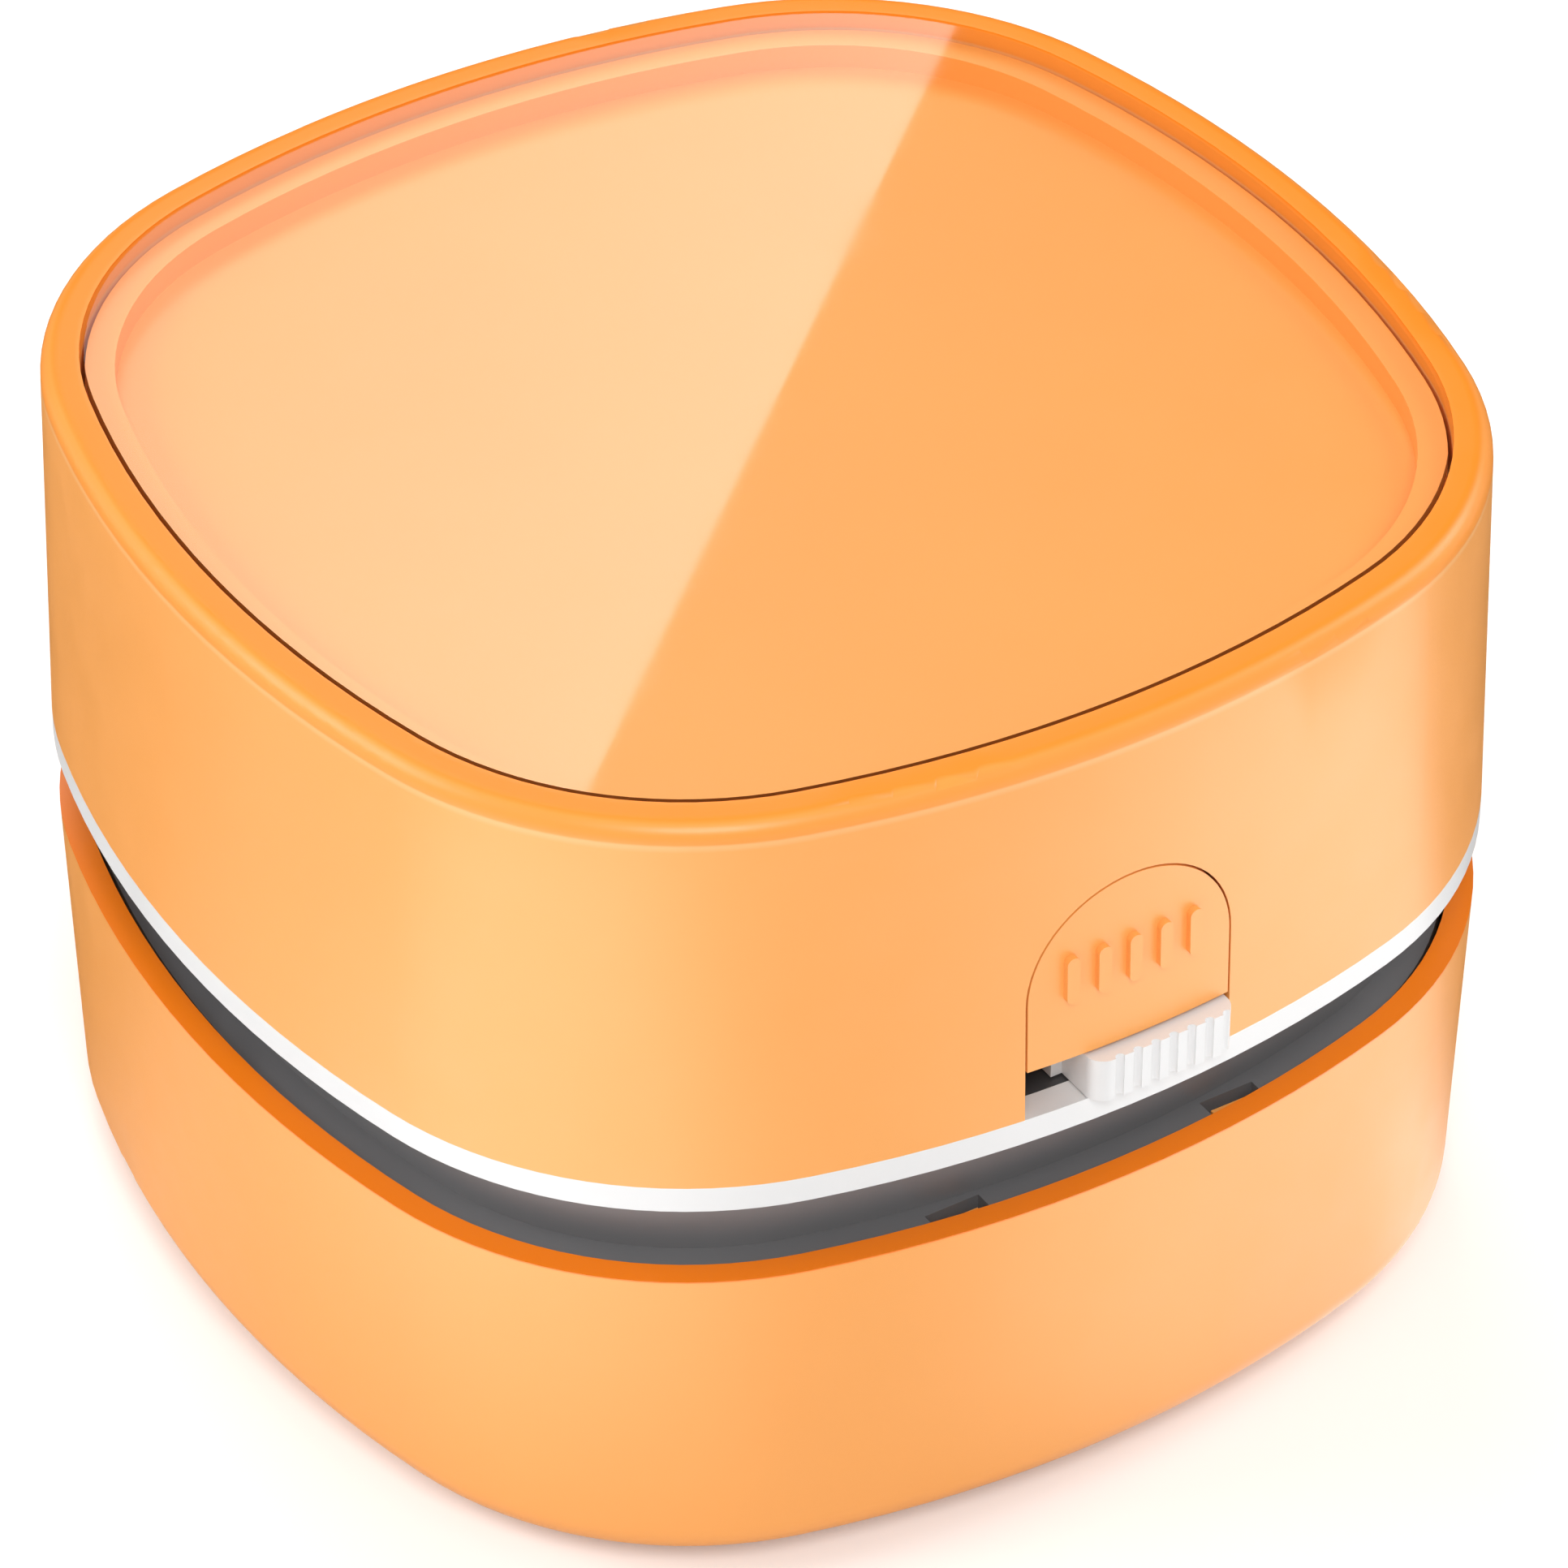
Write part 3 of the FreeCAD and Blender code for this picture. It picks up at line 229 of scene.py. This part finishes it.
class Nodes:
    """A material's node tree with short calls for the nodes used here."""

    def __init__(self, name):
        self.material = bpy.data.materials.new(name)
        self.material.use_nodes = True
        self.tree = self.material.node_tree
        self.shader = self.tree.nodes["Principled BSDF"]
        self.output = self.tree.nodes["Material Output"]
        self.place = self.new("ShaderNodeTexCoord").outputs["Object"]

    def new(self, kind, **settings):
        node = self.tree.nodes.new(kind)
        for key, value in settings.items():
            setattr(node, key, value)
        return node

    def put(self, value, socket):
        """Sets a socket to a number or colour, or links an output to it."""
        if isinstance(value, bpy.types.NodeSocket):
            self.tree.links.new(value, socket)
        elif isinstance(value, tuple):
            socket.default_value = value + (1.0,)
        else:
            socket.default_value = value

    def noise(self, scale, detail=3.0, vector=None):
        node = self.new("ShaderNodeTexNoise")
        self.put(scale, node.inputs["Scale"])
        self.put(detail, node.inputs["Detail"])
        self.put(vector or self.place, node.inputs["Vector"])
        return node.outputs["Fac"]

    def remap(self, value, low, high, to_low=0.0, to_high=1.0, smooth=False):
        node = self.new("ShaderNodeMapRange")
        if smooth:
            node.interpolation_type = "SMOOTHSTEP"
        self.put(low, node.inputs["From Min"])
        self.put(high, node.inputs["From Max"])
        self.put(to_low, node.inputs["To Min"])
        self.put(to_high, node.inputs["To Max"])
        self.put(value, node.inputs["Value"])
        return node.outputs["Result"]

    def patches(self, scale, low, high):
        """Soft patches of noise with values from low to high."""
        return self.remap(self.noise(scale), *PATCHES, low, high)

    def above(self, level, depths, share=1.0, smooth=False):
        """Grows with the object's Z between two depths below a level."""
        return self.remap(self.axis("Z"), level - depths[0], level - depths[1], 0.0, share, smooth)

    def math(self, operation, first, second=0.0):
        node = self.new("ShaderNodeMath", operation=operation)
        self.put(first, node.inputs[0])
        self.put(second, node.inputs[1])
        return node.outputs["Value"]

    def axis(self, name):
        node = self.new("ShaderNodeSeparateXYZ")
        self.put(self.place, node.inputs["Vector"])
        return node.outputs[name]

    def stretched(self, x, y, z):
        """The object's own coordinates scaled by axis."""
        node = self.new("ShaderNodeMapping")
        node.inputs["Scale"].default_value = (x, y, z)
        self.put(self.place, node.inputs["Vector"])
        return node.outputs["Vector"]

    def blend(self, factor, first, second):
        node = self.new("ShaderNodeMix", data_type="RGBA")
        colors = [socket for socket in node.inputs if socket.type == "RGBA"]
        self.put(first, colors[0])
        self.put(second, colors[1])
        self.put(factor, [socket for socket in node.inputs if socket.type == "VALUE"][0])
        return [socket for socket in node.outputs if socket.type == "RGBA"][0]

    def mix(self, factor, first, second):
        """Mixes two shaders."""
        node = self.new("ShaderNodeMixShader")
        self.put(factor, node.inputs["Fac"])
        self.put(first, node.inputs[1])
        self.put(second, node.inputs[2])
        return node.outputs["Shader"]

    def transparent(self):
        return self.new("ShaderNodeBsdfTransparent")

    def backfacing(self):
        return self.new("ShaderNodeNewGeometry").outputs["Backfacing"]

    def bump(self, height, strength, distance):
        node = self.new("ShaderNodeBump")
        self.put(strength, node.inputs["Strength"])
        self.put(distance, node.inputs["Distance"])
        self.put(height, node.inputs["Height"])
        self.put(node.outputs["Normal"], self.shader.inputs["Normal"])

    def finish(self, color, roughness, shine=0.5):
        self.put(color, self.shader.inputs["Base Color"])
        self.put(roughness, self.shader.inputs["Roughness"])
        self.put(shine, self.shader.inputs["Specular IOR Level"])
        return self.material

    def show(self, shader):
        """Sends another shader to the output and drops the Principled one."""
        self.put(shader, self.output.inputs["Surface"])
        self.tree.nodes.remove(self.shader)
        return self.material


def scaled(color, factor):
    return tuple(channel * factor for channel in color)


def moulded(name, color, rough_low, rough_high, grain=GRAIN, tint=0.95):
    """Moulded plastic with a fine skin, faint flow marks and uneven gloss."""
    nodes = Nodes(name)
    flow = nodes.noise(scale=60.0, detail=SKIN_DETAIL, vector=nodes.stretched(1.0, 1.0, 0.35))
    shade = nodes.blend(nodes.remap(flow, *FLOW), scaled(color, tint), color)
    nodes.bump(nodes.noise(SKIN_SCALE, SKIN_DETAIL), strength=0.25, distance=grain)
    return nodes.finish(shade, nodes.patches(scale=240.0, low=rough_low, high=rough_high))


def shell_plastic(name):
    """The orange plastic's flow marks, skin and gloss, ready for its edges."""
    nodes = Nodes(name)
    flow = nodes.noise(scale=45.0, detail=SKIN_DETAIL, vector=nodes.stretched(1.0, 1.0, 0.3))
    body = nodes.blend(nodes.remap(flow, *FLOW), scaled(ORANGE, factor=0.975), ORANGE)
    nodes.bump(nodes.noise(SKIN_SCALE, SKIN_DETAIL), strength=0.2, distance=GRAIN)
    return nodes, body, nodes.patches(scale=200.0, low=0.33, high=0.40)


def upper_orange():
    """Painted shade: a deeper tone on the flat land, softer on the rounded edge; and a painted
    highlight, a pale line below it.
    """
    nodes, shade, rough = shell_plastic("orange_upper")
    shade = nodes.blend(nodes.above(TOP, HIGHLIGHT_DEPTHS, HIGHLIGHT_SHARE, smooth=True), shade, ORANGE_HIGHLIGHT)
    shade = nodes.blend(nodes.above(TOP, EDGE_DEPTHS), shade, ORANGE_EDGE)
    shade = nodes.blend(nodes.above(TOP, LAND_DEPTHS), shade, ORANGE_LAND)
    return nodes.finish(shade, rough)


def lower_orange():
    """Painted shade: a deeper tone on the rim of the dust cup, which shows none of the walls'
    sheen.
    """
    nodes, body, rough = shell_plastic("orange_lower")
    return nodes.finish(nodes.blend(nodes.above(RIM, RIM_DEPTHS), body, ORANGE_RIM), rough)


def plain_orange():
    nodes, body, rough = shell_plastic("orange_inner")
    return nodes.finish(body, rough)


def collar_plastic():
    """Satin dark plastic with painted sheen: greyer towards the top of the band."""
    nodes = Nodes("dark_collar")
    height = nodes.remap(nodes.axis("Z"), RIM - COLLAR_FOOT, COLLAR_TOP, smooth=True)
    low, high = (scaled(DARK_GLOSS, gain) for gain in COLLAR_GAINS)
    nodes.bump(nodes.noise(COLLAR_SKIN_SCALE, SKIN_DETAIL), strength=0.2, distance=GRAIN)
    rough = nodes.patches(scale=200.0, low=0.40, high=0.48)
    return nodes.finish(nodes.blend(height, low, high), rough, shine=1.0)


def metal(name, color, rough_low, rough_high, streaks=EVEN):
    """Metal with streaks, or with an even grain where they aren't drawn out."""
    nodes = Nodes(name)
    nodes.put(1.0, nodes.shader.inputs["Metallic"])
    streak = nodes.noise(scale=900.0, detail=4.0, vector=nodes.stretched(*streaks))
    nodes.bump(streak, strength=0.2, distance=GRAIN)
    shade = nodes.blend(streak, scaled(color, factor=0.85), color)
    return nodes.finish(shade, nodes.remap(streak, *PATCHES, rough_low, rough_high))


def cell_sleeve():
    """Sleeve of a plain dry cell: dark, with a pale band at one end and a stripe at the other."""
    nodes = Nodes("cell_sleeve")
    along = nodes.axis("Y")
    band = nodes.remap(along, *CELL_BAND)
    stripe = nodes.math("MULTIPLY", nodes.remap(along, *CELL_STRIPE_START),
                        nodes.remap(along, *CELL_STRIPE_END))
    shade = nodes.blend(nodes.math("MAXIMUM", band, stripe), SLEEVE, SLEEVE_BAND)
    nodes.bump(nodes.noise(scale=1500.0), strength=0.2, distance=GRAIN)
    return nodes.finish(shade, nodes.patches(scale=300.0, low=0.22, high=0.34))


def filter_cloth():
    """Felted filter cloth: crossing fibres with a soft, matt face."""
    nodes = Nodes("filter_cloth")
    along = nodes.noise(FIBRE_SCALE, FIBRE_DETAIL, nodes.stretched(1.0, FIBRE_STRETCH, 1.0))
    across = nodes.noise(FIBRE_SCALE, FIBRE_DETAIL, nodes.stretched(FIBRE_STRETCH, 1.0, 1.0))
    fibres = nodes.math("MULTIPLY", along, across)
    shade = nodes.blend(nodes.remap(fibres, *FIBRES), scaled(CLOTH, factor=0.82), CLOTH)
    nodes.bump(fibres, strength=0.6, distance=FIBRE_HEIGHT)
    nodes.put(CLOTH_SHEEN, nodes.shader.inputs["Sheen Weight"])
    rough = nodes.remap(fibres, *FIBRES_ROUGH, to_low=0.85, to_high=0.95)
    return nodes.finish(shade, rough, shine=0.2)


def nylon_bristle():
    nodes = Nodes("nylon_bristle")
    shade = nodes.blend(nodes.noise(scale=1800.0), RUBBER, scaled(RUBBER, factor=2.4))
    return nodes.finish(shade, nodes.patches(scale=700.0, low=0.30, high=0.45))


def clear_panel():
    """Clear glossy sheet: see-through, with a mirror-like reflection seen from outside."""
    nodes = Nodes("clear_panel")
    see = nodes.transparent()
    nodes.put(SHEET_TINT, see.inputs["Color"])
    gloss = nodes.new("ShaderNodeBsdfGlossy")
    nodes.put(FULL, gloss.inputs["Color"])
    nodes.put(nodes.patches(scale=120.0, low=0.012, high=0.03), gloss.inputs["Roughness"])
    fresnel = nodes.new("ShaderNodeFresnel")
    nodes.put(SHEET_IOR, fresnel.inputs["IOR"])
    outside = nodes.math("SUBTRACT", 1.0, nodes.backfacing())
    share = nodes.math("MULTIPLY", fresnel.outputs["Fac"], outside)
    return nodes.show(nodes.mix(share, see.outputs["BSDF"], gloss.outputs["BSDF"]))


def sheet_edge():
    """Edge of the clear sheet: painted shade, dark from outside for the seam round the cover, and
    light passes it to the wall beside it.
    """
    nodes = Nodes("sheet_edge")
    shade = nodes.blend(nodes.noise(scale=900.0), scaled(SHEET_EDGE, factor=0.7), SHEET_EDGE)
    nodes.finish(shade, roughness=0.5)
    path = nodes.new("ShaderNodeLightPath")
    light = nodes.math("MAXIMUM", path.outputs["Is Shadow Ray"], path.outputs["Is Diffuse Ray"])
    clear = nodes.math("MAXIMUM", light, nodes.backfacing())
    see = nodes.transparent()
    both = nodes.mix(clear, nodes.shader.outputs["BSDF"], see.outputs["BSDF"])
    nodes.put(both, nodes.output.inputs["Surface"])
    return nodes.material


def smooth_faces(obj):
    for face in obj.data.polygons:
        face.use_smooth = True


def finish_mesh(obj):
    """Smooth shading with crisp edges."""
    smooth_faces(obj)
    weld = obj.modifiers.new("weld", "WELD")
    weld.merge_threshold = WELD_DISTANCE
    split = obj.modifiers.new("split", "EDGE_SPLIT")
    split.split_angle = math.radians(SHARP_ANGLE)


def dress(node, *materials):
    """Gives a CAD node its materials, the first one all over."""
    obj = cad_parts[node]
    obj.data.materials.clear()
    for material in materials:
        obj.data.materials.append(material)
    for face in obj.data.polygons:
        face.material_index = 0
    finish_mesh(obj)
    return obj


def dress_cell(node, sleeve, ends):
    """Bare metal on the two ends of a cell, its sleeve between them."""
    obj = dress(node, sleeve, ends)
    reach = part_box(node)[1].y
    for face in obj.data.polygons:
        if abs(face.center.y) > reach - CELL_END:
            face.material_index = 1


def dress_all():
    orange = plain_orange()
    dark = moulded("dark_plastic", DARK_GREY, rough_low=0.36, rough_high=0.46)
    rubber = moulded("dark_rubber", RUBBER, rough_low=0.6, rough_high=0.75, grain=RUBBER_GRAIN)
    pale = moulded("pale_plastic", WHITE, rough_low=0.32, rough_high=0.42, tint=0.975)
    steel = metal("steel", STEEL, rough_low=0.22, rough_high=0.36)
    drawn = metal("steel_drawn", STEEL_DRAWN, rough_low=0.24, rough_high=0.38, streaks=LONG)
    plated = metal("plated_contact", PLATED, rough_low=0.14, rough_high=0.24)
    brass = metal("bush_brass", BRASS, rough_low=0.25, rough_high=0.35)
    finishes = (
        (upper_orange(), "upper_housing"),
        (lower_orange(), "lower_housing"),
        (orange, "cover_tray", "release_button"),
        (collar_plastic(), "fan_housing"),
        (dark, "motor_deck", "battery_cradle", "brush_holder"),
        (dark, "switch_body", "switch_slider", "motor_end_cap"),
        (rubber, "face_seal", "glide_feet"),
        (pale, "trim_ring", "switch_knob", "filter_frame", "impeller"),
        (steel, "pivot_pin", "return_spring", "motor_screws", "motor_shaft", "housing_screws"),
        (drawn, "motor_can"),
        (plated, "contact_plates", "contact_springs"),
        (brass, "motor_bush"),
    )
    for material, *nodes in finishes:
        for node in nodes:
            dress(node, material)
    sleeve = cell_sleeve()
    for node in ("battery_cell_left", "battery_cell_right"):
        dress_cell(node, sleeve, plated)


def add_mesh(name, points, faces, material):
    mesh = bpy.data.meshes.new(name)
    mesh.from_pydata(points, [], faces)
    mesh.materials.append(material)
    obj = bpy.data.objects.new(name, mesh)
    bpy.context.scene.collection.objects.link(obj)
    return obj


def make_panel():
    """The cover's clear sheet, a hair above the tray so that no two faces lie in one plane."""
    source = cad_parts["cover_panel"]
    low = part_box("cover_panel")[0].z
    points = [vertex.co.copy() for vertex in source.data.vertices]
    for point in points:
        if point.z < low + SHEET_TOLERANCE:
            point.z += SHEET_LIFT
    faces = [tuple(face.vertices) for face in source.data.polygons]
    sheet = add_mesh("clear_sheet", points, faces, clear_panel())
    sheet.data.materials.append(sheet_edge())
    for face in sheet.data.polygons:
        if abs(face.normal.z) < SHEET_LEVEL:
            face.material_index = 1
    finish_mesh(sheet)
    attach(sheet, "top_cover")
    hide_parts("cover_panel")


def around(angle):
    """Unit vector in the plane of the desk, for an angle from +X in radians."""
    return Vector((math.cos(angle), math.sin(angle), 0.0))


def strand(points, faces, root, tip, bow):
    """Adds one bristle that bows on its way from root to tip and thins to its end."""
    first = len(points)
    for step in range(STRAND_SPANS + 1):
        part = step / STRAND_SPANS
        middle = root.lerp(tip, part) + bow * math.sin(math.pi * part)
        radius = STRAND_RADIUS * (1.0 - STRAND_TAPER * part)
        for corner in range(STRAND_SIDES):
            points.append(middle + around(corner * 2.0 * math.pi / STRAND_SIDES) * radius)
    for step in range(STRAND_SPANS):
        low = first + step * STRAND_SIDES
        high = low + STRAND_SIDES
        for corner in range(STRAND_SIDES):
            after = (corner + 1) % STRAND_SIDES
            faces.append((low + corner, high + corner, high + after, low + after))
    last = first + STRAND_SPANS * STRAND_SIDES
    corners = range(STRAND_SIDES)
    faces.append(tuple(first + corner for corner in corners))
    faces.append(tuple(last + corner for corner in reversed(corners)))


def make_bristles():
    """Nylon tufts of separate bristles under the brush ring."""
    draw = random.Random(BRUSH_SEED)
    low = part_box("bristles")[0].z
    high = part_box("bristles")[1].z
    points = []
    faces = []
    for index in range(TUFT_COUNT):
        centre = around(2.0 * math.pi * index / TUFT_COUNT) * TUFT_CIRCLE
        for number in range(STRANDS_PER_TUFT):
            reach = math.sqrt((number + 0.5) / STRANDS_PER_TUFT) * TUFT_RADIUS
            out = around(number * STRAND_TURN)
            root = centre + out * reach * STRAND_ROOT + Vector((0.0, 0.0, high))
            tip = centre + out * reach * draw.uniform(*STRAND_SPREAD)
            tip += Vector((0.0, 0.0, low + draw.uniform(0.0, STRAND_UNEVEN)))
            strand(points, faces, root, tip, out * draw.uniform(*STRAND_BOW))
    brush = add_mesh("brush_tufts", points, faces, nylon_bristle())
    smooth_faces(brush)
    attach(brush, "dust_cup")
    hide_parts("bristles")


def make_filter():
    """Filter cloth in round pleats, with soft ripples and a pressed flat edge."""
    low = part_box("filter_media")[0].z
    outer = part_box("filter_media")[1].x
    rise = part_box("filter_media")[1].z - low - MEDIA_THICKNESS
    points = []
    faces = []
    for thickness in (MEDIA_THICKNESS, 0.0):
        for ring in range(MEDIA_RINGS + 1):
            radius = outer * (MEDIA_HUB + (1.0 - MEDIA_HUB) * ring / MEDIA_RINGS)
            along = min(radius / (PLEATED_REACH * outer), 1.0)
            wave = 0.5 - 0.5 * math.cos(2.0 * math.pi * PLEAT_COUNT * along)
            for side in range(MEDIA_SIDES):
                angle = 2.0 * math.pi * side / MEDIA_SIDES
                swing = math.sin(RIPPLE_COUNT * angle + RIPPLE_TWIST * radius / outer)
                height = wave * PLEAT_SHARE + RIPPLE_SHARE * swing * wave
                z = low + rise * max(0.0, height) + thickness
                points.append((radius * math.cos(angle), radius * math.sin(angle), z))
    under = (MEDIA_RINGS + 1) * MEDIA_SIDES
    for ring in range(MEDIA_RINGS):
        for side in range(MEDIA_SIDES):
            a = ring * MEDIA_SIDES + side
            b = ring * MEDIA_SIDES + (side + 1) % MEDIA_SIDES
            c = b + MEDIA_SIDES
            d = a + MEDIA_SIDES
            faces.append((a, d, c, b))
            faces.append((under + b, under + c, under + d, under + a))
    rim = MEDIA_RINGS * MEDIA_SIDES
    for a in range(MEDIA_SIDES):
        b = (a + 1) % MEDIA_SIDES
        faces.append((under + b, b, a, under + a))
        faces.append((rim + a, under + rim + a, under + rim + b, rim + b))
    cloth = add_mesh("filter_pleats", points, faces, filter_cloth())
    smooth_faces(cloth)
    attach(cloth, "motor_unit")
    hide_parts("filter_media")


def stage_sheet(name, material, place, half_x, half_y, turn=0.0, tilt=0.0):
    """Flat sheet of the studio, tilted up and then turned about Z, in degrees."""
    corners = [(-1.0, -1.0, 0.0), (1.0, -1.0, 0.0), (1.0, 1.0, 0.0), (-1.0, 1.0, 0.0)]
    sheet = add_mesh(name, corners, [(0, 1, 2, 3)], material)
    sheet.location = place
    sheet.scale = (half_x, half_y, 1.0)
    sheet.rotation_euler = (math.radians(tilt), 0.0, math.radians(turn))
    return sheet


def seen_in_gloss_only(sheet):
    """Cards shape reflections; they light nothing, shade nothing and stay out of the picture."""
    sheet.visible_camera = False
    sheet.visible_diffuse = False
    sheet.visible_transmission = False
    sheet.visible_volume_scatter = False
    sheet.visible_shadow = False


def card_material(name, level, cover, soft):
    """Glows at a level, or hides what is behind it by its cover, with soft borders."""
    nodes = Nodes(name)
    sides = []
    for letter in ("X", "Y"):
        away = nodes.math("ABSOLUTE", nodes.axis(letter))
        sides.append(nodes.remap(away, 1.0, 1.0 - soft, smooth=True))
    share = nodes.math("MULTIPLY", nodes.math("MULTIPLY", *sides), cover)
    glow = nodes.new("ShaderNodeEmission")
    nodes.put(level, glow.inputs["Strength"])
    see = nodes.transparent()
    return nodes.show(nodes.mix(share, see.outputs["BSDF"], glow.outputs["Emission"]))


def fading_card(low, high):
    """Glows evenly along its length and fades away from one long edge."""
    nodes = Nodes("card_top")
    glow = nodes.new("ShaderNodeEmission")
    nodes.put(nodes.remap(nodes.axis("X"), -1.0, 1.0, low, high), glow.inputs["Strength"])
    return nodes.show(glow.outputs["Emission"])


def make_cards():
    """Light cards and dark cloths on the floor, behind and above, for the object's gloss."""
    for name, level, cover, soft, azimuth, reach, height, half_x, half_y, tilt in CARDS:
        material = card_material(name, level, cover, soft)
        place = direction(azimuth, 0.0) * reach + Vector((0.0, 0.0, height))
        seen_in_gloss_only(stage_sheet(name, material, place, half_x, half_y, azimuth, tilt))
    material = fading_card(*CARD_TOP_LEVELS)
    sheet = stage_sheet("card_top", material, CARD_TOP_PLACE, *CARD_TOP_HALVES, CARD_TOP_TURN)
    seen_in_gloss_only(sheet)


def seen_directly(tree):
    """Output that is 1 for camera, glossy and transmission rays."""
    path = tree.nodes.new("ShaderNodeLightPath")
    value = path.outputs["Is Camera Ray"]
    for name in ("Is Glossy Ray", "Is Transmission Ray"):
        top = tree.nodes.new("ShaderNodeMath")
        top.operation = "MAXIMUM"
        tree.links.new(value, top.inputs[0])
        tree.links.new(path.outputs[name], top.inputs[1])
        value = top.outputs["Value"]
    return value


def make_floor():
    """Plain pale floor under the object."""
    nodes = Nodes("floor")
    glow = nodes.remap(seen_directly(nodes.tree), 0.0, 1.0, 0.0, FLOOR_GLOW)
    nodes.put(FULL, nodes.shader.inputs["Emission Color"])
    nodes.put(glow, nodes.shader.inputs["Emission Strength"])
    material = nodes.finish(FLOOR, FLOOR_ROUGHNESS, shine=0.0)
    stage_sheet("floor", material, (0.0, 0.0, 0.0), FLOOR_HALF, FLOOR_HALF)


def make_world():
    """White where it is seen directly, and a plain level where it lights the object."""
    world = bpy.data.worlds.new("studio")
    bpy.context.scene.world = world
    world.use_nodes = True
    tree = world.node_tree
    background = tree.nodes["Background"]
    span = tree.nodes.new("ShaderNodeMapRange")
    span.inputs["To Min"].default_value = WORLD_LEVEL
    tree.links.new(seen_directly(tree), span.inputs["Value"])
    tree.links.new(span.outputs["Result"], background.inputs["Strength"])
    background.inputs["Color"].default_value = FULL + (1.0,)


def make_lights():
    for name, azimuth, elevation, size, power in LAMPS:
        data = bpy.data.lights.new(name, "AREA")
        data.shape = "DISK"
        data.size = size
        data.energy = power
        light = bpy.data.objects.new(name, data)
        bpy.context.scene.collection.objects.link(light)
        toward = direction(azimuth, elevation)
        light.location = CAMERA_TARGET + toward * LAMP_DISTANCE
        light.rotation_euler = toward.to_track_quat("Z", "Y").to_euler()


make_camera()
dress_all()
make_panel()
make_bristles()
make_filter()
make_floor()
make_cards()
make_world()
make_lights()
bpy.context.scene.view_settings.view_transform = "Standard"
